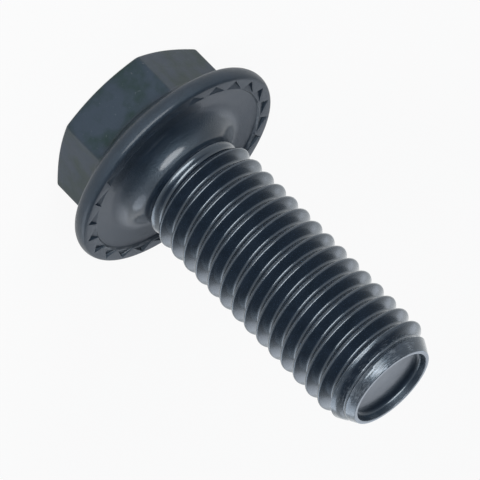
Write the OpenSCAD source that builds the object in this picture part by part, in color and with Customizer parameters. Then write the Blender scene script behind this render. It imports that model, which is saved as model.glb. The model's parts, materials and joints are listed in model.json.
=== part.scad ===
// Hexagon flange bolt with a ratchet-toothed bearing ring, M12 x 1.75, 30 mm under the head.
// One piece of steel: the head and flange are forged, the thread is rolled.
// Millimetres. The middle of the bearing plane is the origin, the thread points along +z
// and the head hangs below it, so the bolt stands on its head. The thread is right-handed.

/* [Thread] */
// Outside diameter of the thread
thread_d = 11.85; // [11.7:0.05:12.2]
// Advance of the thread in one turn
pitch = 1.75; // [1.5:0.05:1.75]
// Length from the bearing plane to the tip
length = 30.6; // [25:0.1:36]
// Depth of the thread from crest to root
thread_depth = 1.07; // [0.85:0.01:1.1]
// Width of the flat on a crest
crest_w = 0.22; // [0.16:0.01:0.3]
// Width of the flat in a root
root_w = 0.14; // [0.08:0.01:0.2]
// Height above the root at which each flank turns into its rounding
root_corner = 0.14; // [0.08:0.01:0.2]
// Slope of a flank from the plane across the bolt
flank_deg = 30; // [26:1:30]
// Height of one crest above the bearing plane on the +x side
crest_z = 0.66; // [0.3:0.01:1]

/* [Run-out and neck] */
// Step from a crest down to the plain neck, which is as wide as the blank before rolling
neck_step = 0.55; // [0.4:0.01:0.7]
// Height at which the plain neck ends
neck_h = 1.65; // [1.45:0.05:2.2]
// Length over which the thread grows to its full depth
runout_len = 2.3; // [1.5:0.1:4]
// Radius of the fillet between the neck and the underside of the flange
neck_fillet = 2.6; // [1.2:0.1:2.8]
// Depth of the hairline shelf at the neck's end, where the rolling starts
shelf = 0.03; // [0.01:0.01:0.06]

/* [Tip] */
// Step from the root down to the edge of the flat end
tip_step = 0.31; // [0.2:0.01:0.5]
// Slope of the lead-in cone from the axis
tip_deg = 29; // [24:1:34]
// Width of the flat rim round the end cup
cup_rim_w = 0.36; // [0.2:0.02:0.8]
// Depth of the end cup at its wall
cup_depth = 0.85; // [0.4:0.05:1.2]
// Slope of the cup's wall from the axis
cup_wall_deg = 20; // [5:1:35]
// Radius between the cup's wall and floor
cup_fillet = 0.4; // [0.1:0.05:0.6]
// How much deeper the floor lies in its middle
cup_dish = 0.12; // [0.02:0.01:0.3]

/* [Hexagon] */
// Width across the flats
across_flats = 16; // [15:0.1:16.2]
// How much of each sharp corner is trimmed away
corner_trim = 0.06; // [0.03:0.01:0.35]
// Height of the head from the bearing plane to its top
head_h = 8.35; // [7.6:0.05:9.4]
// Distance from a flat in to the corner between the top and the chamfer
crown_inset = 0.5; // [0.3:0.05:1.5]
// Slope of the crown's chamfer from the flat top
crown_deg = 18; // [14:1:30]
// Radius between the flat top and the chamfer
crown_edge = 1; // [0.3:0.1:2]

/* [Flange] */
// Diameter over the rim
flange_d = 23.4; // [22.6:0.05:24.4]
// Height of the rounded rim
rim_h = 1.6; // [1.2:0.05:1.8]
// Radius of the rim's rounding
rim_round = 1.6; // [1:0.05:2]
// Slope of the flange's upper cone
cone_deg = 29; // [22:1:32]
// How far that cone runs on inside the hexagon
cone_sink = 2; // [1:0.5:4]
// Width of the toothed bearing ring
ring_w = 1.45; // [1:0.01:1.6]
// Width of the sloping wall inside the ring
ring_wall_w = 0.3; // [0.15:0.05:0.5]
// Depth of the recess at the foot of that wall
wall_depth = 0.3; // [0.15:0.05:0.35]
// Width of the band between the wall's foot and the crease in the recess
band_w = 0.7; // [0.3:0.05:0.9]
// Depth of the recess at the crease
crease_depth = 0.36; // [0.35:0.01:0.42]
// Depth of the recess where the neck's fillet starts
recess_depth = 0.5; // [0.45:0.05:0.65]

/* [Bearing teeth] */
// Number of teeth round the ring
teeth = 24; // [18:1:30]
// Depth of the notch before a tooth's steep side, at its outer end
tooth_depth = 0.38; // [0.25:0.01:0.5]
// Width of the plain ring left inside the teeth
ring_land_w = 0.15; // [0.12:0.01:0.4]
// Width of the flat along each tooth's crest
crest_land_w = 0.16; // [0.08:0.01:0.3]
// Angle by which a crest's outer end lags behind its inner end
sweep_deg = 4; // [0:0.5:6]
// Distance by which a steep side's foot stands out from its crest
lean = 0.08; // [0:0.01:0.15]

/* [Fineness] */
// Steps of the thread in one turn
steps = 36; // [24:2:40]
// Widest angle that one straight stretch of a rounding spans
arc_step_deg = 10; // [6:1:18]

/* [Hidden] */
$fn = 96;
// how far cutting shapes reach past the metal, and the helix past both its ends
spare = 1.5;
steel = [0.17, 0.18, 0.2];

// radii
crest_r = thread_d/2;
root_r = crest_r - thread_depth;
neck_r = crest_r - neck_step;
blank_r = neck_r - shelf;
tip_r = root_r - tip_step;
flange_r = flange_d/2;
flat_r = across_flats/2;
corner_r = flat_r/cos(30) - corner_trim;

// One pitch of the thread: [height from the crest's middle, full radius].
flank_h = crest_w/2 + (thread_depth - root_corner)*tan(flank_deg);
profile = [
    [-crest_w/2, crest_r],
    [crest_w/2, crest_r],
    [flank_h, root_r + root_corner],
    [(pitch - root_w)/2, root_r],
    [(pitch + root_w)/2, root_r],
    [pitch - flank_h, root_r + root_corner]
];
points_per_pitch = len(profile);

// The helix starts inside the neck, a turn below its first visible crest, and ends
// above the tip, where its cone is already thinner than the root.
helix_z = crest_z - pitch;
plain_cone_z = length - tip_step/tan(tip_deg);
last_step = ceil((plain_cone_z - helix_z)*steps/pitch) + 1;
blank_end_z = helix_z + pitch*(last_step/steps + 1) + crest_w;
blank_start_z = helix_z - spare;

// rim of the flange
rim_half_deg = asin(rim_h/2/rim_round);
rim_edge_r = flange_r - rim_round*(1 - cos(rim_half_deg));
ring_r = rim_edge_r - ring_w;

// teeth
tooth_deg = 360/teeth;
tooth_in_r = ring_r + ring_land_w;
tooth_out_r = rim_edge_r;
crest_land_deg = crest_land_w/tooth_in_r*180/PI;

function smooth(t) = let (x = max(0, min(1, t))) x*x*(3 - 2*x);
function polar(r, a, z) = [r*cos(a), r*sin(a), z];
function towards(p, q, t) = p + (q - p)*t;
function arc(centre, r, from, to) = let (n = ceil(abs(to - from)/arc_step_deg))
    [for (i = [0:n]) let (a = from + (to - from)*i/n) centre + r*[cos(a), sin(a)]];

// Radius of profile point k at height z: it grows out of the blank along the run-out
// and is cut back by the lead-in cone.
function grown(k, z) = blank_r + smooth((z - neck_h)/runout_len)*(profile[k][1] - blank_r);
function cone_r(z) = tip_r + (length - z)*tan(tip_deg);
function thread_point(i, k) =
    let (z = helix_z + pitch*i/steps + profile[k][0])
    polar(min(grown(k, z), cone_r(z)), 360*i/steps, z);

// Number of the point at step i and profile point k. The point above a step's last
// profile point is the first one of the same direction a turn later.
function at(i, k) =
    k == points_per_pitch ? at(i + steps, 0)
    : i <= last_step ? i*points_per_pitch + k
    : (last_step + 1)*points_per_pitch + i - last_step - 1;

module threaded_shank() {
    K = points_per_pitch;
    low = at(last_step + steps, 0) + 1;
    high = low + steps;
    points = concat(
        [for (i = [0:last_step]) for (k = [0:K - 1]) thread_point(i, k)],
        [for (i = [last_step + 1:last_step + steps]) thread_point(i, 0)],
        [for (i = [0:steps - 1]) polar(blank_r, 360*i/steps, blank_start_z)],
        [for (i = [1:steps]) polar(cone_r(blank_end_z), 360*(last_step + i)/steps, blank_end_z)]
    );
    flanks = [for (i = [0:last_step - 1]) for (k = [0:K - 1]) for (upper = [true, false])
        upper ? [at(i, k), at(i, k + 1), at(i + 1, k + 1)]
        : [at(i, k), at(i + 1, k + 1), at(i + 1, k)]];
    // between the flat lower end and the first turn
    skirt = [for (i = [0:steps - 2]) for (upper = [true, false])
        upper ? [low + i, at(i, 0), at(i + 1, 0)]
        : [low + i, at(i + 1, 0), low + i + 1]];
    skirt_seam = concat(
        [for (k = [0:K - 1]) [at(steps - 1, 0), at(0, k + 1), at(0, k)]],
        [[at(steps - 1, 0), at(0, 0), low], [at(steps - 1, 0), low, low + steps - 1]]
    );
    // between the last turn and the flat upper end
    cap = [for (i = [1:steps - 1]) for (upper = [true, false])
        upper ? [at(last_step + i, 0), high + i - 1, high + i]
        : [at(last_step + i, 0), high + i, at(last_step + i + 1, 0)]];
    cap_seam = concat(
        [for (k = [0:K - 1]) [at(last_step + 1, 0), at(last_step, k), at(last_step, k + 1)]],
        [[at(last_step + 1, 0), at(last_step + steps, 0), high + steps - 1],
         [at(last_step + 1, 0), high + steps - 1, high]]
    );
    ends = [
        [for (i = [0:steps - 1]) low + i],
        [for (i = [steps - 1:-1:0]) high + i]
    ];
    polyhedron(points, concat(flanks, skirt, skirt_seam, cap, cap_seam, ends), convexity = 10);
}

// Everything above the flat end and inside the end cup.
module tip_cut() {
    mouth_r = tip_r - cup_rim_w;
    wall_h = cup_depth - cup_fillet*(1 - sin(cup_wall_deg));
    foot_r = mouth_r - wall_h*tan(cup_wall_deg);
    bend = [foot_r - cup_fillet*cos(cup_wall_deg), length - cup_depth + cup_fillet];
    top = blank_end_z + spare;
    rotate_extrude()
        polygon(concat(
            [[0, top], [crest_r + spare, top], [crest_r + spare, length], [mouth_r, length]],
            arc(bend, cup_fillet, -cup_wall_deg, -90),
            [[0, length - cup_depth - cup_dish]]
        ));
}

// Flange with its rounded rim, the recess under it, and the neck. A fillet that is taller
// than the neck ends where the neck does.
module flange() {
    bend_z = neck_fillet - recess_depth;
    turn_deg = asin(max(0, bend_z - neck_h)/neck_fillet);
    bend_r = neck_r + neck_fillet*cos(turn_deg);
    foot_r = ring_r - ring_wall_w;
    inner_r = flat_r - cone_sink;
    rim_mid = [flange_r - rim_round, -rim_h/2];
    rotate_extrude()
        polygon(concat(
            [[0, neck_h], [neck_r, neck_h]],
            arc([bend_r, bend_z], neck_fillet, 180 + turn_deg, 270),
            [[foot_r - band_w, -crease_depth], [foot_r, -wall_depth], [ring_r, 0]],
            arc(rim_mid, rim_round, rim_half_deg, -rim_half_deg),
            [[inner_r, -rim_h - (rim_edge_r - inner_r)*tan(cone_deg)],
             [0, -rim_h - (rim_edge_r - inner_r)*tan(cone_deg)]]
        ));
}

// Hexagon with trimmed corners and a chamfered crown, its flats square to +y and -y.
module hexagon() {
    crown_r = flat_r - crown_inset;
    rise = (corner_r - crown_r)*tan(crown_deg);
    top_mid = [crown_r - crown_edge*tan(crown_deg/2), crown_edge - head_h];
    intersection() {
        translate([0, 0, -head_h])
            cylinder(h = head_h - rim_h, r = flat_r/cos(30), $fn = 6);
        rotate_extrude()
            polygon(concat(
                [[0, -head_h]],
                arc(top_mid, crown_edge, -90, crown_deg - 90),
                [[corner_r, rise - head_h], [corner_r, 0], [0, 0]]
            ));
    }
}

// What is cut away in front of one tooth: its steep side below the crest, a ramp down
// from the plain ring and a ramp down from the crest before. All three meet at the
// deepest point, near the rim. Each rises past the bearing plane by too little for one
// notch to reach the next across the crest between them.
module tooth_notch() {
    before = -tooth_deg + crest_land_deg;
    steep_in = polar(tooth_in_r, 0, 0);
    steep_out = polar(tooth_out_r, -sweep_deg, 0);
    last_in = polar(tooth_in_r, before, 0);
    last_out = polar(tooth_out_r, before - sweep_deg, 0);
    away = cross(steep_out - steep_in, [0, 0, 1])/norm(steep_out - steep_in);
    deep = steep_out + away*lean - [0, 0, tooth_depth];
    up = 1 + crest_land_w/2/norm(last_in - deep);
    out = 1 + spare/norm(steep_out - steep_in);
    steep_side = cross(steep_out - steep_in, deep - steep_in);
    ramp = cross(last_out - last_in, deep - last_in);
    valley = cross(ramp, steep_side);
    top_in = towards(deep, steep_in, up);
    top_last = towards(deep, last_in, up);
    polyhedron([
        top_in,
        top_last,
        top_last + (last_out - last_in)*out,
        top_in + (steep_out - steep_in)*out,
        deep,
        deep + valley/norm(valley)*spare*sign(valley*steep_out)
    ], [[3, 2, 1, 0], [1, 4, 0], [2, 5, 4, 1], [4, 5, 3, 0], [3, 5, 2]]);
}

module flange_bolt() {
    color(steel)
        difference() {
            union() {
                difference() {
                    union() {
                        flange();
                        hexagon();
                    }
                    for (i = [0:teeth - 1])
                        rotate([0, 0, (i + 0.25)*tooth_deg])
                            tooth_notch();
                }
                threaded_shank();
            }
            tip_cut();
        }
}

flange_bolt();
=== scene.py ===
# %% [markdown]
# # A flange bolt in one skin
#
# This lesson dresses a packed steel part for a product picture. The real thing is one
# piece of steel: a hexagon head and its flange are forged on a blank, ratchet teeth are
# pressed into the flange's bearing ring, and a right-hand thread is rolled into the
# shank. A black oxide finish covers it all.
#
# Such a part could be made of several overlapping shapes, but then hidden walls would
# cut through one another inside. Here a single closed skin runs from the middle of the
# head, round the rim, over the teeth, up the thread and into the cup at the tip.
#
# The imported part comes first. It fixes every place and size.

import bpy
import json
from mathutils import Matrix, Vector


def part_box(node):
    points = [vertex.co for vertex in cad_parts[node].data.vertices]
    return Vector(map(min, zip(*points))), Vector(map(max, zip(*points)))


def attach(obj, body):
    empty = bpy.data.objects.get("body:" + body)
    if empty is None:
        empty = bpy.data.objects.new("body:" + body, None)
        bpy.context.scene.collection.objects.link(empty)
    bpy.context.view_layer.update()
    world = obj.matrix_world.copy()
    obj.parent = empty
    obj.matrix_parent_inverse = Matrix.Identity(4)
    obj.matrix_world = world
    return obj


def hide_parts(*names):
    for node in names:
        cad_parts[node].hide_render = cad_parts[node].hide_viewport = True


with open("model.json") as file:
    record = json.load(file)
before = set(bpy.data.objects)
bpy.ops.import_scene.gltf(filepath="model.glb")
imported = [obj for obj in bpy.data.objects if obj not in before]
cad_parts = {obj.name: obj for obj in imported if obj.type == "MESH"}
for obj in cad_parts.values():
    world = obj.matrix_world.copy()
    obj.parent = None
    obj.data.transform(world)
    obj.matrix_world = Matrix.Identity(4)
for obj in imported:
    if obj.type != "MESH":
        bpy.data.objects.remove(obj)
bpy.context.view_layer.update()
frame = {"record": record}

# %% Other tools
import json
import math

import bpy
import numpy as np
from mathutils import Matrix, Vector

MM = 0.001

# %% [markdown]
# ## Sizes
#
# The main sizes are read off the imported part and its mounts, in millimetres: the length
# and the head's height from the box, the thread's radius and the width across the flats
# from the mounts. Typing them again would work too, but then a change to the part would
# leave its skin behind. The smaller sizes come with each step. They repeat the part's own
# design, and a few of them, such as the rim's roundings, the start of the thread and the
# slope of the cup's wall, follow the picture a little more closely.

# %% Main sizes from the frame
def mount(name):
    """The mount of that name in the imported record."""
    return next(m for m in frame["record"]["mounts"] if m["name"] == name)


box_low, box_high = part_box("flange_bolt")
length = round(box_high[2]/MM, 2)
head_h = round(-box_low[2]/MM, 2)
flange_r = round(box_high[0]/MM, 2)
crest_r = mount("thread")["dims"]["r_mm"]
flat_r = -mount("wrench_flat")["pos_m"][1]/MM
print(f"length {length}, head {head_h}, flange radius {flange_r}")
print(f"thread radius {crest_r}, half the wrench size {flat_r}")

# %% [markdown]
# ## Outlines and rings
#
# Nearly every surface of the bolt is an outline carried round the axis. An outline is a
# row of corners given as (radius, height), and each corner may be rounded. A Screw
# modifier could carry a drawn outline round, but it makes the same ring everywhere. Here
# the corners may differ from one direction to the next, as they do on the hexagon, so a
# corner is an array with one (radius, height) per column of the mesh.

# %% Rounding an outline
def unit(v):
    """Each vector divided by its own length."""
    return v/np.linalg.norm(v, axis=-1, keepdims=True)


def rounded(corners, radii, steps=5):
    """Puts an arc at each inner corner of an outline.

    With u and v the directions along the two sides and h half the angle between them,
    the arc's centre is corner + (u + v)/|u + v| * radius/sin(h), and it touches the
    sides at radius/tan(h) from the corner. Its points turn evenly from one to the other.
    """
    rows = [corners[0]]
    for before, corner, after, radius in zip(corners, corners[1:], corners[2:], radii):
        if radius == 0:
            rows.append(corner)
            continue
        u = unit(before - corner)
        v = unit(after - corner)
        half = np.arccos(np.sum(u*v, axis=-1, keepdims=True))/2
        centre = corner + unit(u + v)*radius/np.sin(half)
        first = corner + u*radius/np.tan(half) - centre
        last = corner + v*radius/np.tan(half) - centre
        turn = np.pi - 2*half
        for s in np.linspace(0, 1, steps + 1):
            rows.append(centre + (np.sin((1 - s)*turn)*first + np.sin(s*turn)*last)/np.sin(turn))
    rows.append(corners[-1])
    return np.array(rows)


# %% Arcs and even spacing
def arc(centre, radius, start_deg, end_deg, steps):
    """Points centre + radius * (cos a, sin a), with the angle a in equal steps."""
    a = np.radians(np.linspace(start_deg, end_deg, steps + 1))
    return np.array(centre) + radius*np.stack([np.cos(a), np.sin(a)], axis=-1)


def filled(rows, gap):
    """Adds rows p + (q - p) i/n between any two rows p and q that are more than gap apart."""
    out = [rows[0]]
    for p, q in zip(rows, rows[1:]):
        n = math.ceil(np.max(np.linalg.norm(q - p, axis=-1))/gap)
        out += [p + (q - p)*i/n for i in range(1, n + 1)]
    return np.array(out)


def turned(outline, angle):
    """Points (r cos a, r sin a, z) of an outline's (r, z) in the directions a."""
    r, z, a = np.broadcast_arrays(outline[..., 0], outline[..., 1], angle)
    return np.stack([r*np.cos(a), r*np.sin(a), z], axis=-1)


# %% [markdown]
# The skin grows ring by ring. Each ring's points get numbers, and faces are rows of such
# numbers. They turn left when seen from outside, so every face looks outwards. A fan
# joins a ring of many points to one of few, which saves points where the surface is calm.

# %% The skin that collects rings
class Skin:
    """Points and faces of one closed surface, numbered in the order they come."""

    def __init__(self):
        self.points = []
        self.faces = []
        self.count = 0

    def add(self, points):
        """Takes an array of points and gives their numbers in the same layout."""
        numbers = self.count + np.arange(points[..., 0].size).reshape(points.shape[:-1])
        self.points.append(points.reshape(-1, 3))
        self.count += numbers.size
        return numbers

    def cover(self, corners):
        """Takes faces, one to each row of point numbers."""
        self.faces.append(corners.reshape(-1, corners.shape[-1]))

    def strip(self, a, b):
        """Four-sided faces from each ring in a to the one that follows it, in b."""
        self.cover(np.stack([a, np.roll(a, -1, -1), np.roll(b, -1, -1), b], axis=-1))

    def fan(self, many, few):
        """Faces from a ring of many points to the next ring, which has a whole share of them."""
        share = many.size//few.size
        wide = many[(share*np.arange(few.size)[:, None] + np.arange(share + 1)) % many.size]
        self.cover(np.concatenate([wide, np.roll(few, -1)[:, None], few[:, None]], axis=1))

    def close(self, ring, pole, first):
        """Triangles between a ring and the single point before it, or else after it."""
        sides = [np.roll(ring, -1), ring] if first else [ring, np.roll(ring, -1)]
        self.cover(np.stack([*sides, np.full(ring.size, pole)], axis=-1))


skin = Skin()

# %% [markdown]
# ## Columns
#
# The head and the flange share one set of columns, 28 to a tooth. Even columns would need
# several times as many for teeth as crisp as pressed ones. So they crowd together at each
# tooth's steep side, where the surface falls away, and are even along its ramp. The
# hexagon's corners lie in line with every fourth tooth, so they get the crowded columns.
# Everything inside the ring, and the thread, has a seventh as many.

# %% Bearing ring and teeth
toothed_w = 1.66
ring_r = flange_r - toothed_w
ring_edge_w = 0.06
tooth_in_r = ring_r + ring_edge_w
teeth = 24
tooth_deg = 360/teeth
first_tooth_deg = tooth_deg/4
crest_land = 0.16
crest_land_deg = math.degrees(crest_land/tooth_in_r)
print(teeth, "teeth from a radius of", round(tooth_in_r, 2), "outwards, one every", tooth_deg, "degrees")

# %% Columns of one tooth, and of all of them
columns = 96
finer = 7
per_tooth = finer*columns//teeth
foot_deg = 0.5
on_crest = np.linspace(0, crest_land_deg, 3)
on_steep_side = tooth_deg - foot_deg*np.array([1, 0.75, 0.5, 0.25])
ramp_columns = per_tooth - on_crest.size - on_steep_side.size
on_ramp = np.linspace(crest_land_deg, tooth_deg - foot_deg, ramp_columns + 2)[1:-1]
phase = np.concatenate([on_crest, on_ramp, on_steep_side])
tooth_phase = np.tile(phase, teeth)
tooth_start = np.repeat(np.arange(teeth)*tooth_deg + first_tooth_deg, per_tooth)
print(per_tooth, "columns to a tooth,", tooth_phase.size, "in all")

# %% [markdown]
# ## The ratchet teeth
#
# The teeth bite into the work when the bolt would turn loose. Each one is left standing by
# a pressed notch with three flat sides: a steep side below the crest, a wide ramp down from
# the crest before, and a small ramp down from the plain ring. They meet in one deepest
# point near the rim. A notch could be cut with a Boolean modifier, but then its edges would
# be ragged triangles. Here each side is the height of a plane over the place (x, y), and
# the mesh's columns follow the notch's edges, so that every edge is a clean line.

# %% Three planes of a notch
def polar(r, angle_deg, z=0.0):
    """The point at radius r, at an angle in degrees, at height z."""
    a = math.radians(angle_deg)
    return np.array([r*math.cos(a), r*math.sin(a), z])


def plane(p, q, s):
    """Height z(x, y) = p_z - (n_x (x - p_x) + n_y (y - p_y))/n_z of the plane with normal n."""
    n = np.cross(q - p, s - p)
    return lambda x, y: p[2] - (n[0]*(x - p[0]) + n[1]*(y - p[1]))/n[2]


tooth_depth = 0.36
tooth_out_r = flange_r - 0.55
inner_step = 0.12
outer_w = 0.14
sweep_deg = 4
lean = 0.08
steep_in = polar(tooth_in_r, 0)
steep_out = polar(tooth_out_r, -sweep_deg)
last_in = polar(tooth_in_r, crest_land_deg - tooth_deg)
crest_line = steep_out - steep_in
across = unit(np.cross(crest_line, [0, 0, 1]))
deep = steep_out - unit(crest_line)*outer_w + across*lean - [0, 0, tooth_depth]
steep_side = plane(steep_in, steep_out, deep)
bottom = plane(steep_in - [0, 0, inner_step], last_in, deep)
outer_side = plane(last_in, steep_out, deep)
print("deepest point of a notch at", deep.round(2))

# %% Columns that follow the swept crests
def swept(r):
    """Direction, in degrees, in which a crest line p + t d reaches radius r.

    The distance t solves |p + t d| = r. Inside the teeth the direction stays the same.
    """
    p, d = steep_in[:2], crest_line[:2]
    reach = np.maximum(r, tooth_in_r)**2 - tooth_in_r**2
    t = (np.sqrt((p@d)**2 + d@d*reach) - p@d)/(d@d)
    return np.degrees(np.arctan2(p[1] + t*d[1], p[0] + t*d[0]))


def along(p, q):
    """Radius at which each column meets the straight line from p to q, seen from above.

    In the direction b that line is at r = (p x q)/(b x (q - p)). A column's direction
    depends on r, so a few rounds of both settle it. On the crest's land the radius runs
    back from q's to p's.
    """
    rounds = 12
    r = np.full(tooth_phase.size, np.hypot(*p[:2]))
    for _ in range(rounds):
        b = np.radians(tooth_phase - tooth_deg + swept(r))
        r = (p[0]*q[1] - p[1]*q[0])/(np.cos(b)*(q[1] - p[1]) - np.sin(b)*(q[0] - p[0]))
    back = np.interp(tooth_phase, [0, crest_land_deg], [np.hypot(*q[:2]), np.hypot(*p[:2])])
    return np.where(tooth_phase < crest_land_deg, back, r)


ridge_r = along(last_in, steep_out)
bottom_r = along(last_in, deep)
print("ridge between radii", round(ridge_r.min(), 2), "and", round(ridge_r.max(), 2))

# %% [markdown]
# ## The hexagon and the flange
#
# The head is forged: a hexagon with a chamfered crown stands on a cone, which ends in a
# rounded rim. A six-sided cylinder and a cone could be joined and bevelled, but the bevel
# would stumble where six flats meet a round cone. Instead one outline goes from the middle
# of the head out to its crown, up the flat, along the cone, round the rim, across the
# bearing ring and down into the recess. On a wrench flat its corners lie at
# flat_r/cos(angle from the flat's middle), and each of the six corners is an arc.

# %% Sizes of the hexagon
crown_inset = 0.5
crown_r = flat_r - crown_inset
crown_deg = 18
corner_round = 0.45
print("flat top of the head", 2*crown_r, "mm across")

# %% Half the hexagon's width in each direction
def hexagon_radius(angle_deg):
    """Distance from the axis to a hexagon with rounded corners.

    A flat lies at flat_r/cos(b), with b measured from its middle. A corner is a circle
    whose centre is c = (flat_r - corner_round)/cos(30 degrees) out along the corner, so
    at an angle a from it the distance is c cos(a) + sqrt(corner_round^2 - (c sin a)^2).
    """
    a = np.radians((angle_deg + 30) % 60 - 30)
    c = (flat_r - corner_round)/math.cos(math.radians(30))
    end = math.atan2(corner_round/2, c + corner_round*math.cos(math.radians(30)))
    flat = flat_r/np.cos(math.radians(30) - np.abs(a))
    inside = np.maximum(corner_round**2 - (c*np.sin(a))**2, 0)
    return np.where(np.abs(a) < end, c*np.cos(a) + np.sqrt(inside), flat)


hexagon_phase = np.repeat(np.arange(teeth)*tooth_deg, per_tooth) + tooth_phase
wall_r = hexagon_radius(hexagon_phase)
print("head from", round(wall_r.min(), 2), "to", round(wall_r.max(), 2), "mm from its axis")

# %% The rim's roundings
rim_h = 1.6
rim_round = 1.2
rim_edge = 0.45
rim_low_deg = -math.degrees(math.asin(rim_h/2/rim_round))
rim_turn_deg = math.degrees(math.asin((rim_h/2 - rim_edge)/(rim_round - rim_edge)))
rim_bend_r = flange_r - rim_round + (rim_round - rim_edge)*math.cos(math.radians(rim_turn_deg))
rim = np.concatenate([
    arc((flange_r - rim_round, -rim_h/2), rim_round, rim_low_deg, rim_turn_deg, steps=8)[:-1],
    arc((rim_bend_r, -rim_edge), rim_edge, rim_turn_deg, 90, steps=6)])
print("rim of", len(rim), "rings, from", rim[0].round(2), "to", rim[-1].round(2))

# %% The bearing ring's inner wall
ring_wall_w = 0.16
wall_depth = 0.3
band_w = 0.7
crease_depth = 0.36
ring_foot_r = ring_r - ring_wall_w
crease_r = ring_foot_r - band_w
stitch_r = (ring_foot_r + crease_r)/2
stitch_z = -(wall_depth + crease_depth)/2
print("foot of the ring's wall at a radius of", round(ring_foot_r, 2))

# %% The outline's corners
cone_deg = 29
crown_slope = math.tan(math.radians(crown_deg))
cone_slope = math.tan(math.radians(cone_deg))
margin = 0.03


def everywhere(r, z):
    """One outline corner that is the same in every direction, or follows given radii."""
    shape = np.ones_like(wall_r)
    return np.stack([r*shape, z*shape], axis=-1)


head_corners = np.array(
    [everywhere(crown_r/3, -head_h), everywhere(crown_r, -head_h),
     everywhere(wall_r, (wall_r - crown_r)*crown_slope - head_h),
     everywhere(wall_r, -rim_h - (rim[0, 0] - wall_r)*cone_slope)]
    + [everywhere(r, z) for r, z in rim]
    + [everywhere(r, 0) for r in (ridge_r + margin, ridge_r, bottom_r, bottom_r - margin, ring_r)]
    + [everywhere(ring_foot_r, -wall_depth), everywhere(stitch_r, stitch_z)])
print(len(head_corners), "corners on the head's outline")

# %% Their roundings
crown_round = 1
edge_round = 0.3
fold_round = 0.55
ring_edge_round = 0.1
ring_foot_round = 0.12
head_gap = 0.9
head_radii = [crown_round, edge_round, fold_round, *[0]*(len(rim) + 4), ring_edge_round, ring_foot_round]
head_rows = filled(rounded(head_corners, head_radii), head_gap)
print(len(head_rows), "rings on the head")

# %% [markdown]
# With the head's rings in place, the notches are pressed into them. The highest of the
# three planes is the notch, the lower of that and the plain ring is the toothed surface,
# and a soft minimum wears the crests a little. A Boolean modifier leaves its edges sharp.
# Down to the rim's middle the columns lean with the swept crests, and below it they ease
# back, to meet the hexagon's corners.

# %% Lean of the columns
def twist(rows):
    """Turn of each row's columns: with the crests above the rim's middle, and below it
    easing back until the columns are in line with the hexagon's corners."""
    r, z = rows[..., 0], rows[..., 1]
    below = np.clip((-rim_h/2 - z)/(rim_h/2), 0, 1)
    eased = swept(flange_r) + (-first_tooth_deg - swept(flange_r))*below
    return np.where(below > 0, eased, swept(r))


head_twist = twist(head_rows)
print("columns lean by", round(head_twist.min(), 2), "to", round(head_twist.max(), 2), "degrees")

# %% Cutting the notches
def lower_of(a, b, width):
    """The lesser of two heights, rounded off where they differ by less than width."""
    h = np.clip(0.5 + 0.5*(b - a)/width, 0, 1)
    return b + (a - b)*h - width*h*(1 - h)


local = np.radians(tooth_phase - tooth_deg + head_twist)
x, y = head_rows[..., 0]*np.cos(local), head_rows[..., 0]*np.sin(local)
notch_z = np.max([side(x, y) for side in (bottom, steep_side, outer_side)], axis=0)
worn_crest = 0.025
toothed_z = lower_of(head_rows[..., 1], notch_z, worn_crest)
toothed_rows = np.stack([head_rows[..., 0], toothed_z], axis=-1)
head_angle = np.radians(tooth_start + tooth_phase + head_twist)
print("deepest cut", round((head_rows[..., 1] - toothed_z).max(), 2), "mm")

# %% The head's skin
head = skin.add(turned(toothed_rows, head_angle))
head_pole = skin.add(np.array([[0, 0, -head_h]]))[0]
skin.close(head[0], head_pole, first=True)
skin.strip(head[:-1], head[1:])
print(skin.count, "points on the head")

# %% [markdown]
# ## The recess and the neck
#
# Inside the bearing ring the flange is hollowed a little, so that only the teeth and the
# plain ring touch the work. Its floor falls gently towards a generous fillet, which
# climbs to the plain neck and spreads the load there. A Bevel modifier could round that
# corner, but an arc in the outline has an exact radius. Nothing here differs round the
# axis, so these are plain rings with few columns.

# %% Sizes of the recess and the neck
recess_depth = 0.5
neck_step = 0.55
neck_r = crest_r - neck_step
neck_h = 1.65
neck_fillet = 2.6
fillet_steps = 17
fillet_from_deg = 265
plain_neck = 0.15
bend_z = neck_fillet - recess_depth
neck_start = min(bend_z, neck_h - plain_neck)
bend_deg = math.degrees(math.asin((bend_z - neck_start)/neck_fillet))
floor_r = neck_r + neck_fillet*math.cos(math.radians(bend_deg))
print("the fillet runs from a radius of", round(floor_r, 2), "to a height of", round(neck_start, 2))

# %% Recess and neck
step_in = 0.12
crease_round = 0.35
floor_round = 1.5
recess_gap = 0.25
recess_corners = np.array(
    [(stitch_r - step_in, stitch_z - step_in*(crease_depth - wall_depth)/band_w),
     (crease_r, -crease_depth), (floor_r, -recess_depth)]
    + list(arc((floor_r, bend_z), neck_fillet, fillet_from_deg, 180 + bend_deg, fillet_steps)))
recess_radii = [crease_round, floor_round, *[0]*fillet_steps]
recess_rows = filled(rounded(recess_corners[:, None], recess_radii, steps=4), recess_gap)
column_angle = np.radians(np.arange(columns)*360/columns + first_tooth_deg)
recess = skin.add(turned(recess_rows, column_angle))
skin.fan(head[-1], recess[0])
skin.strip(recess[:-1], recess[1:])
print(len(recess_rows), "rings in the recess and up the neck")

# %% [markdown]
# ## The rolled thread
#
# A thread could be an outline on a Screw modifier, but its ends would stay open and blunt.
# Here every point has a step along the helix and a place in the outline of one pitch. The
# last point of a pitch is the first point of the same direction one turn later, so the
# strip closes on itself. Three things then shape it: the run-out, where it grows out of
# the neck; the lead-in cone, which cuts it back; and both ends, whose heights are squeezed
# together on a surface that is already plain, so that they can meet flat rings.

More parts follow.
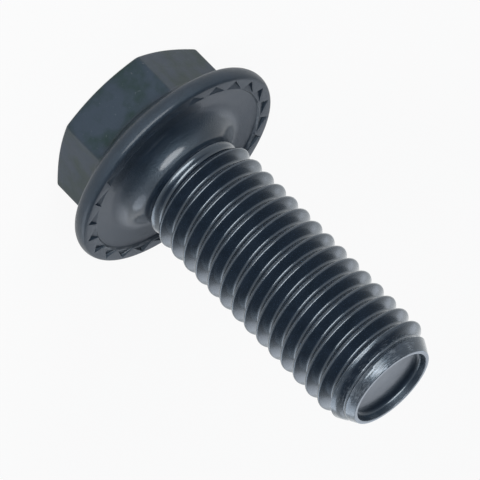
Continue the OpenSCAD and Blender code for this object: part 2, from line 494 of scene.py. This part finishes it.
# %% Sizes of the thread
pitch = 1.75
thread_depth = 1.07
root_r = crest_r - thread_depth
crest_w = 0.22
flank_deg = 30
crest_z = 0.82
runout_len = 2.3
tip_step = 0.31
tip_r = root_r - tip_step
tip_deg = 29
tip_slope = math.tan(math.radians(tip_deg))
print("root radius", round(root_r, 3), "and tip radius", round(tip_r, 3))

# %% Outline of one pitch
shoulder_round = 0.2
bend_steps = 5
flank_gap = 0.6
root_round = root_r - (crest_r - (pitch/2 - crest_w/2)/math.tan(math.radians(flank_deg)))


def pitch_outline():
    """Points (height, radius) from the middle of one crest to just short of the next.

    The shoulder is an arc from the crest's flat to the flank, the root is the arc that
    touches both flanks, and the second half mirrors the first about the root's middle.
    """
    reach = shoulder_round*math.tan(math.radians((90 - flank_deg)/2))
    shoulder_mid = (crest_w/2 - reach, crest_r - shoulder_round)
    shoulder = arc(shoulder_mid, shoulder_round, 90, flank_deg, bend_steps)
    root = arc((pitch/2, root_r + root_round), root_round, 180 + flank_deg, 270, bend_steps)
    half = filled(np.concatenate([[(0, crest_r)], shoulder, root]), flank_gap)
    other = [pitch, 0] + half[-2:0:-1]*[-1, 1]
    return np.concatenate([half, other])


outline = pitch_outline()
per_pitch = len(outline)
print(per_pitch, "points to a pitch, root arc", round(root_round, 3), "mm")

# %% Numbers of the helix's points
plain_cone_z = length - (root_r - tip_r)/tip_slope
start_z = crest_z - pitch + pitch*first_tooth_deg/360
last_step = math.ceil((plain_cone_z - start_z)*columns/pitch) + 1
step = np.arange(last_step + 1)


def at(i, k):
    """Number of the point at step i and outline point k, where the point above the last of
    a step is the first of the step one turn on. Past the last step only crests are left."""
    i, k = np.broadcast_arrays(i, k)
    i, k = i + columns*(k//per_pitch), k % per_pitch
    return np.where(i <= last_step, i*per_pitch + k, (last_step + 1)*per_pitch + i - last_step - 1)


# %% Where each point of the helix lies
def smooth(t):
    """The S-shaped step 3 t^2 - 2 t^3 between 0 and 1."""
    t = np.clip(t, 0, 1)
    return t*t*(3 - 2*t)


lip = 0.08
squeeze_gap = 0.015
helix_end_z = start_z + pitch*(last_step + columns)/columns
worn_thread = 0.06


def helix(i, k):
    """Points of the thread at step i and outline point k.

    The height is start + pitch i/columns + the outline's height, squeezed at both ends.
    The radius grows from the neck's to the outline's along the run-out, and is cut off
    by the cone tip_r + (length - z) tip_slope.
    """
    z = np.interp(start_z + pitch*i/columns + outline[k, 0],
                  [start_z, neck_h, plain_cone_z, helix_end_z],
                  [neck_start + squeeze_gap, neck_h, plain_cone_z, length - lip - squeeze_gap])
    full = neck_r + smooth((z - neck_h)/runout_len)*(outline[k, 1] - neck_r)
    cone = tip_r + (length - z)*tip_slope
    return turned(np.stack([lower_of(full, cone, worn_thread), z], axis=-1),
                  column_angle[0] + 2*np.pi*i/columns)


# %% The thread's skin
thread_points = helix(step[:, None], np.arange(per_pitch)[None, :])
last_crest = helix(last_step + 1 + np.arange(columns), np.zeros(columns, int))
first_point = skin.count
skin.add(np.concatenate([thread_points.reshape(-1, 3), last_crest]))


def thread_at(i, k):
    """Number in the skin of a point of the thread."""
    return first_point + at(i, k)


i, k = step[:-1, None], np.arange(per_pitch)[None, :]
skin.cover(np.stack([thread_at(i, k), thread_at(i + 1, k),
                     thread_at(i + 1, k + 1), thread_at(i, k + 1)], axis=-1))
print(last_step + 1, "steps along the thread,", round(last_step/columns, 1), "turns")

# %% Its seam with the neck
neck = recess[-1]
turn = np.arange(columns - 1)
skin.cover(np.stack([neck[:-1], neck[1:], thread_at(turn + 1, 0), thread_at(turn, 0)], axis=-1))
start_face = np.concatenate([
    [neck[-1], neck[0]], thread_at(0, np.arange(per_pitch + 1)), [thread_at(columns - 1, 0)]])
skin.cover(start_face[None, :])
print("one face of", start_face.size, "corners fills the step where the thread starts")

# %% [markdown]
# ## The tip
#
# The lead-in cone, which guides the bolt into a nut, ends in a narrow flat rim, and inside
# it the end is cupped. A cup could be pushed into a flat end with Inset and Extrude. This
# is again one outline turned about the axis, from the last turn of the thread to the
# middle of the cup's dished floor, so that its rim and fillet have radii of their own.

# %% Sizes of the cup
cup_rim_w = 0.36
cup_mouth_r = tip_r - cup_rim_w
cup_depth = 0.85
cup_wall_deg = 8
cup_dish = 0.12
cup_foot_r = cup_mouth_r - cup_depth*math.tan(math.radians(cup_wall_deg))
floor_mid = length - cup_depth - cup_dish
print("cup from", round(2*cup_mouth_r, 2), "mm at its mouth to", round(2*cup_foot_r, 2), "mm at its foot")

# %% Rim and cup
rim_corner_round = 0.07
mouth_round = 0.06
cup_fillet = 0.38
tip_gap = 0.5
tip_corners = np.array([
    (tip_r + lip*tip_slope, length - lip), (tip_r, length), (cup_mouth_r, length),
    (cup_foot_r, length - cup_depth), (cup_foot_r/10, floor_mid + cup_dish/10)])
tip_radii = [rim_corner_round, mouth_round, cup_fillet]
tip_rows = filled(rounded(tip_corners[:, None], tip_radii), tip_gap)
tip_angle = column_angle[0] + 2*np.pi*(last_step + np.arange(columns))/columns
tip = skin.add(turned(tip_rows, tip_angle))
tip_pole = skin.add(np.array([[0, 0, floor_mid]]))[0]
skin.strip(tip[:-1], tip[1:])
skin.close(tip[-1], tip_pole, first=False)
print(len(tip_rows), "rings on the tip")

# %% Its seam with the thread
turn = np.arange(1, columns)
lowest = tip[0]
skin.cover(np.stack([thread_at(last_step + turn, 0), thread_at(last_step + turn + 1, 0),
                     lowest[(turn + 1) % columns], lowest[turn]], axis=-1))
end_face = np.concatenate([
    [thread_at(last_step, 0), thread_at(last_step + 1, 0), lowest[1], lowest[0]],
    thread_at(last_step, np.arange(per_pitch, 0, -1))])
skin.cover(end_face[None, :])
print("one face of", end_face.size, "corners fills the step where the thread ends")

# %% [markdown]
# ## The mesh
#
# The points and faces become one mesh. A tool such as Merge by Distance could weld
# separate meshes, but here every seam already shares its points. Two sums show whether the
# skin is sound. Every edge must be run along once in each direction, which proves that the
# skin is closed and turned one way. The volume, a sixth of the sum of p . (q x s) over all
# triangles, is printed beside it.

# %% From numbers to a mesh
points = np.concatenate(skin.points)
faces = [face for block in skin.faces for face in block.tolist()]
mesh = bpy.data.meshes.new("flange_bolt_skin")
mesh.from_pydata(points*MM, [], faces)
mesh.update()
bolt = bpy.data.objects.new("flange_bolt_skin", mesh)
bpy.context.scene.collection.objects.link(bolt)
print(len(mesh.polygons), "faces in", mesh.name)

# %% Is it sound
def directed_edges():
    """Start and end point of every face's every edge."""
    return np.concatenate([
        np.stack([block, np.roll(block, -1, axis=1)], axis=-1).reshape(-1, 2) for block in skin.faces])


def enclosed_volume():
    """A sixth of the sum of p . (q x s), with each face cut into triangles from its first corner."""
    total = 0
    for block in skin.faces:
        p = points[block]
        total += np.sum(p[:, :1]*np.cross(p[:, 1:-1], p[:, 2:]))/6
    return total


edges = directed_edges()
one_way = edges[:, 0]*len(points) + edges[:, 1]
other_way = edges[:, 1]*len(points) + edges[:, 0]
run_once = len(np.unique(one_way)) == len(one_way)
closed = run_once and np.array_equal(np.sort(one_way), np.sort(other_way))
triangles = sum(len(block)*(block.shape[1] - 2) for block in skin.faces)
print("closed:", closed, "- points:", len(points), "- triangles:", triangles)
print("volume:", round(enclosed_volume(), 1), "mm3")

# %% [markdown]
# ## Worn edges
#
# Handling rubs the black finish off wherever the steel stands proud. The Geometry node's
# Pointiness would find such places, but only in one render engine. So how proud a point
# stands is measured once on the mesh and kept as an attribute, which the material can use
# from any side: the mean over its neighbours of n . (p - q)/|p - q|^2, with n the normal
# at p and q the neighbour. It is positive on a ridge and negative in a groove.

# %% How proud each point stands
def proudness():
    """Mean of n . (p - q)/|p - q|^2 over the neighbours q of each point p, per millimetre."""
    normals = np.empty(len(points)*3)
    mesh.vertex_normals.foreach_get("vector", normals)
    normals = normals.reshape(-1, 3)
    p, q = points[edges[:, 0]], points[edges[:, 1]]
    away = p - q
    shortest = 1e-4
    reach = np.maximum(np.sum(away*away, axis=1), shortest)
    bend = np.sum(normals[edges[:, 0]]*away, axis=1)/reach
    total = np.bincount(edges[:, 0], bend, len(points))
    return total/np.bincount(edges[:, 0], minlength=len(points))


proud = proudness()
mesh.attributes.new("proud", "FLOAT", "POINT").data.foreach_set("value", proud)
print("proudness from", round(proud.min(), 2), "to", round(proud.max(), 2), "per mm")

# %% Smooth shading with crisp tooth edges
crisp_deg = 40
mesh.shade_smooth()
mesh.set_sharp_from_angle(angle=math.radians(crisp_deg))
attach(bolt, "root")
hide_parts("flange_bolt")
print(bolt.name, "stands for the packed part")

# %% [markdown]
# ## Black oxide on steel
#
# The bolt was dipped in hot salts that turn its skin to black oxide. Its finish could be
# drawn by hand in the node editor, but shader maths reads best as plain arithmetic. The
# small class below holds a node's output and turns +, - and * into Math nodes, so that
# 1 - mask works as written.

# %% Arithmetic on sockets
class Value:
    """A number that changes over the surface, for use in plain arithmetic."""

    def __init__(self, finish, socket):
        self.finish = finish
        self.socket = socket

    def math(self, operation, *values):
        """One Math node."""
        return self.finish.node("ShaderNodeMath", {"operation": operation}, dict(enumerate(values)))

    def __add__(self, other):
        return self.math("ADD", self, other)

    def __sub__(self, other):
        return self.math("SUBTRACT", self, other)

    def __rsub__(self, other):
        return self.math("SUBTRACT", other, self)

    def __mul__(self, other):
        return self.math("MULTIPLY", self, other)

    __radd__ = __add__
    __rmul__ = __mul__

    def between(self, low, high):
        """0 below low, 1 above high, and an even rise from one to the other."""
        return self.finish.node(
            "ShaderNodeMapRange", {}, {"Value": self, "From Min": low, "From Max": high}, "Result")


# %% Nodes by their type
class Finish:
    """The nodes of a material or of the world."""

    def __init__(self, owner):
        owner.use_nodes = True
        self.owner = owner
        self.tree = owner.node_tree
        self.tree.nodes.clear()

    def node(self, kind, settings, sockets, output=0):
        """Adds a node: its settings come first, then each socket gets a link or a value."""
        node = self.tree.nodes.new(kind)
        for key, value in settings.items():
            setattr(node, key, value)
        for key, value in sockets.items():
            if isinstance(value, Value):
                self.tree.links.new(value.socket, node.inputs[key])
            else:
                node.inputs[key].default_value = value
        return Value(self, node.outputs[output]) if node.outputs else node

    def blend(self, share, first, second):
        """A colour that goes from the first to the second as share goes from 0 to 1."""
        mix_share, mix_first, mix_second, mix_result = 0, 6, 7, 2
        return self.node("ShaderNodeMix", {"data_type": "RGBA", "clamp_factor": True},
                         {mix_share: share, mix_first: first, mix_second: second}, mix_result)

    def noise(self, place, size, detail=4, roughness=0.55):
        """Noise between 0 and 1 whose blotches are about size metres across."""
        return self.node("ShaderNodeTexNoise", {"noise_dimensions": "3D"},
                         {"Vector": place, "Scale": 1/size, "Detail": detail, "Roughness": roughness})

    def shown(self):
        """1 for what the camera sees, straight or in gloss or through glass, and 0 for light
        that falls on a surface: the greatest of three outputs of Light Path."""
        camera_ray, glossy_ray, clear_ray = [
            self.node("ShaderNodeLightPath", {}, {}, ray)
            for ray in ("Is Camera Ray", "Is Glossy Ray", "Is Transmission Ray")]
        return clear_ray.math("MAXIMUM", camera_ray.math("MAXIMUM", camera_ray, glossy_ray), clear_ray)


# %% [markdown]
# The finish itself is nearly black with a blue cast. The forged hexagon and the back of
# the flange are satin, in slate and greenish patches, with pale specks where scale came
# off. From the rim on the steel is smoother and carries a film of oil, which is a coat
# over it, thickest on the thread and wiped thin on the recess and on the cup's floor. The
# rolled thread has fine streaks that run round it as the rollers did, which is noise that
# is squashed along the axis. Bare steel shows a little on proud edges, and in scratches on
# the lead-in cone. A painted picture could carry all this, but noise that is worked out
# from the place on the bolt needs no unwrapping and stays sharp at any distance.

# %% Place, height and radius on the bolt
steel = Finish(bpy.data.materials.new("black_oxide_steel"))
place = steel.node("ShaderNodeTexCoord", {}, {}, "Object")
height = steel.node("ShaderNodeSeparateXYZ", {}, {"Vector": place}, "Z")
level_place = steel.node("ShaderNodeVectorMath", {"operation": "MULTIPLY"}, {0: place, 1: (1, 1, 0)})
radius = steel.node("ShaderNodeVectorMath", {"operation": "LENGTH"}, {0: level_place}, "Value")


def above(low, high):
    """0 below the height low and 1 above high, in millimetres."""
    return height.between(low*MM, high*MM)


def outside(low, high):
    """0 inside the radius low and 1 outside high, in millimetres."""
    return radius.between(low*MM, high*MM)


# %% Where the finish changes
rolled = above(1.2, 2.2)
forged = 1 - above(-2.2, -1.4)
lead_in = above(length - 2, length - 1.6)*outside(tip_r - 0.2, tip_r)
hollow = above(-1.8, -1.4)*(1 - above(0, 0.25))*outside(6.6, 7.6)
cup_floor = above(length - 1.2, length - 1.1)*(1 - outside(tip_r - 0.7, tip_r - 0.2))
wiped = hollow + cup_floor
print(len(steel.tree.nodes), "nodes tell the regions apart")

# %% Blotches, grain and streaks
squashed = steel.node("ShaderNodeVectorMath", {"operation": "MULTIPLY"}, {0: place, 1: (1, 1, 9)})
mottle = steel.noise(place, 1.6*MM)
grain = steel.noise(place, 0.18*MM, 5, 0.65)
streaks = steel.noise(squashed, 2.2*MM, 6, 0.7)
patches = steel.noise(place, 3.5*MM, 3)

# %% Where bare steel shows
proud_value = steel.node("ShaderNodeAttribute", {"attribute_name": "proud"}, {}, "Fac")
patchy = 0.35 + steel.noise(place, 0.7*MM).between(0.4, 0.65)
edge = proud_value.between(0.7, 4)*patchy
specks = steel.noise(place, 0.28*MM, 2).between(0.71, 0.8)
scratches = steel.noise(squashed, 0.5*MM, 3).between(0.5, 0.6)*patches.between(0.42, 0.52)
rubbed = edge*0.3 + specks*forged*0.35 + scratches*lead_in*0.4
print(round((proud > 0.7).mean()*100), "% of the points stand proud enough to be rubbed")

# %% Colour
black = (0.006, 0.011, 0.019, 1)
smoke = (0.012, 0.019, 0.031, 1)
greenish = (0.003, 0.013, 0.010, 1)
slate = (0.020, 0.029, 0.043, 1)
bare = (0.32, 0.34, 0.37, 1)
rolled_colour = steel.blend(mottle.between(0.3, 0.75), black, smoke)
forged_colour = steel.blend((patches*0.6 + mottle*0.4).between(0.42, 0.56), greenish, slate)
colour = steel.blend(forged, rolled_colour, forged_colour)
colour = steel.blend(rubbed, colour, bare)

# %% Oil, gloss and relief
oil = 0.7 - forged*0.7 + rolled*0.25 - wiped*0.4
base_gloss = 0.4 - rolled*0.14 + forged*0.08 + wiped*0.15
roughness = base_gloss + (mottle - 0.5)*0.16 + (streaks - 0.5)*rolled*0.2 - edge*0.05
relief = grain*(5 - forged*3.8 - rolled*4.5) + streaks*rolled*0.8 + mottle*forged*1.5
bump = steel.node("ShaderNodeBump", {}, {
    "Strength": 0.5, "Distance": 0.035*MM, "Height": relief}, "Normal")

# %% Black steel
surface = steel.node("ShaderNodeBsdfPrincipled", {}, {
    "Base Color": colour, "Metallic": rubbed, "Roughness": roughness, "Normal": bump,
    "IOR": 1.52, "Specular Tint": (0.72, 0.88, 1, 1),
    "Coat Weight": oil, "Coat Roughness": 0.16, "Coat IOR": 1.5, "Coat Tint": (0.9, 0.96, 1, 1)}, "BSDF")
steel.node("ShaderNodeOutputMaterial", {}, {"Surface": surface})
mesh.materials.append(steel.owner)
print(len(steel.tree.nodes), "nodes in", steel.owner.name)

# %% [markdown]
# ## Floor and light
#
# The bolt stands on plain pale paper. Lamps could light the paper to white, but they would
# wash out the black steel. So for whatever the camera sees, straight or in a reflection,
# the paper's own colour is blended with 92 parts in 100 of white, and the rest keeps the
# bolt's soft shadow. The world is a pale horizon to the same rays, dark overhead, and
# lights the bolt only dimly.

# %% Pale floor
floor_half = 1.5
floor_z = -head_h*MM
floor_mesh = bpy.data.meshes.new("floor")
floor_mesh.from_pydata(
    [(-floor_half, -floor_half, floor_z), (floor_half, -floor_half, floor_z),
     (floor_half, floor_half, floor_z), (-floor_half, floor_half, floor_z)], [], [(0, 1, 2, 3)])
floor = bpy.data.objects.new("floor", floor_mesh)
bpy.context.scene.collection.objects.link(floor)

# %% Its paper
white_share = 0.92
paper = Finish(bpy.data.materials.new("pale_floor"))
matt = paper.node("ShaderNodeBsdfDiffuse", {}, {"Color": (0.86, 0.86, 0.87, 1)})
white = paper.node("ShaderNodeEmission", {}, {"Color": (1, 1, 1, 1), "Strength": 1.0})
both = paper.node("ShaderNodeMixShader", {}, {0: paper.shown()*white_share, 1: matt, 2: white})
paper.node("ShaderNodeOutputMaterial", {}, {"Surface": both})
floor_mesh.materials.append(paper.owner)
print("floor", 2*floor_half, "m wide in", paper.owner.name)

# %% Pale horizon under a dim ceiling
dim = 0.1
pale = 0.7
studio = Finish(bpy.data.worlds.new("studio"))
bpy.context.scene.world = studio.owner
ray_way = studio.node("ShaderNodeTexCoord", {}, {}, "Generated")
climb = studio.node("ShaderNodeSeparateXYZ", {}, {"Vector": ray_way}, "Z")
level = dim + studio.shown()*pale*(1 - climb.between(0.45, 0.75))
air = studio.node("ShaderNodeBackground", {}, {"Color": (0.94, 0.97, 1, 1), "Strength": level})
studio.node("ShaderNodeOutputWorld", {}, {"Surface": air})
print("world from", dim, "to", round(dim + pale, 2))

# %% [markdown]
# Three flat lamps do the lighting. A dark glossy thing shows its lamps more than its own
# colour, so each has its own surface to draw. The front key stands just above the camera
# and makes the thin lines along the thread. A weak lamp low on the right gives the flanks
# an edge, and a wide one behind the bolt is what the flat recess and the cup mirror. They
# are oval, because a rectangle's corners would show on the round neck.

# %% Lamps
middle = Vector((0, 0, (length - head_h)/2*MM))


def lamp(name, azimuth, elevation, distance, size, power, colour):
    """A flat oval lamp of size (width, height) that faces the middle of the bolt.

    Azimuth 0 is the camera's side and 90 the right-hand side, both in degrees. Distance
    and size are in metres, and the power is in watts.
    """
    a, e = math.radians(azimuth), math.radians(elevation)
    away = Vector((math.sin(a)*math.cos(e), -math.cos(a)*math.cos(e), math.sin(e)))
    light = bpy.data.lights.new(name, "AREA")
    light.shape = "ELLIPSE"
    light.size, light.size_y = size
    light.energy = power
    light.color = colour
    made = bpy.data.objects.new(name, light)
    made.location = middle + away*distance
    made.rotation_mode = "QUATERNION"
    made.rotation_quaternion = away.to_track_quat("Z", "Y")
    bpy.context.scene.collection.objects.link(made)


lamp("front_key", -6, 27, 0.5, (0.56, 0.22), 2.8, (0.96, 0.98, 1))
lamp("right_side", 110, 9, 0.5, (0.46, 0.2), 0.48, (0.8, 0.88, 1))
lamp("back_sky", 176, 26, 0.5, (0.6, 0.3), 0.32, (0.8, 0.86, 1))
print(len(bpy.data.lights), "lamps")

# %% [markdown]
# ## Camera
#
# The photograph looks down on the standing bolt at 22.5 degrees, and is then turned so
# that the tip points to the lower right. A Track To constraint could aim the camera, but
# it keeps the view upright. So its three axes are worked out from those two angles. The
# lens is long, because the bolt's far end looks hardly smaller than its near one.

# %% Camera
look_down = math.radians(22.5)
roll = math.radians(45.6)
distance = 0.5
field = 45*MM
sensor = 36
aim = Vector((0.48, 0, 9.46))*MM
toward_camera = Vector((0, -math.cos(look_down), math.sin(look_down)))
tip_way = Vector((0, math.sin(look_down), math.cos(look_down)))
right_way = Vector((1, 0, 0))
image_right = tip_way*math.cos(roll) - right_way*math.sin(roll)
image_down = tip_way*math.sin(roll) + right_way*math.cos(roll)
camera_data = bpy.data.cameras.new("camera")
camera_data.sensor_width = sensor
camera_data.lens = sensor*distance/field
camera_data.clip_start = 0.05
camera = bpy.data.objects.new("camera", camera_data)
camera.location = aim + toward_camera*distance
camera.rotation_mode = "QUATERNION"
camera_axes = Matrix((image_right, -image_down, toward_camera)).transposed()
camera.rotation_quaternion = camera_axes.to_quaternion()
bpy.context.scene.collection.objects.link(camera)
bpy.context.scene.camera = camera
print("lens", round(camera_data.lens), "mm")

# %% Colours as they are written
bpy.context.scene.view_settings.view_transform = "Standard"
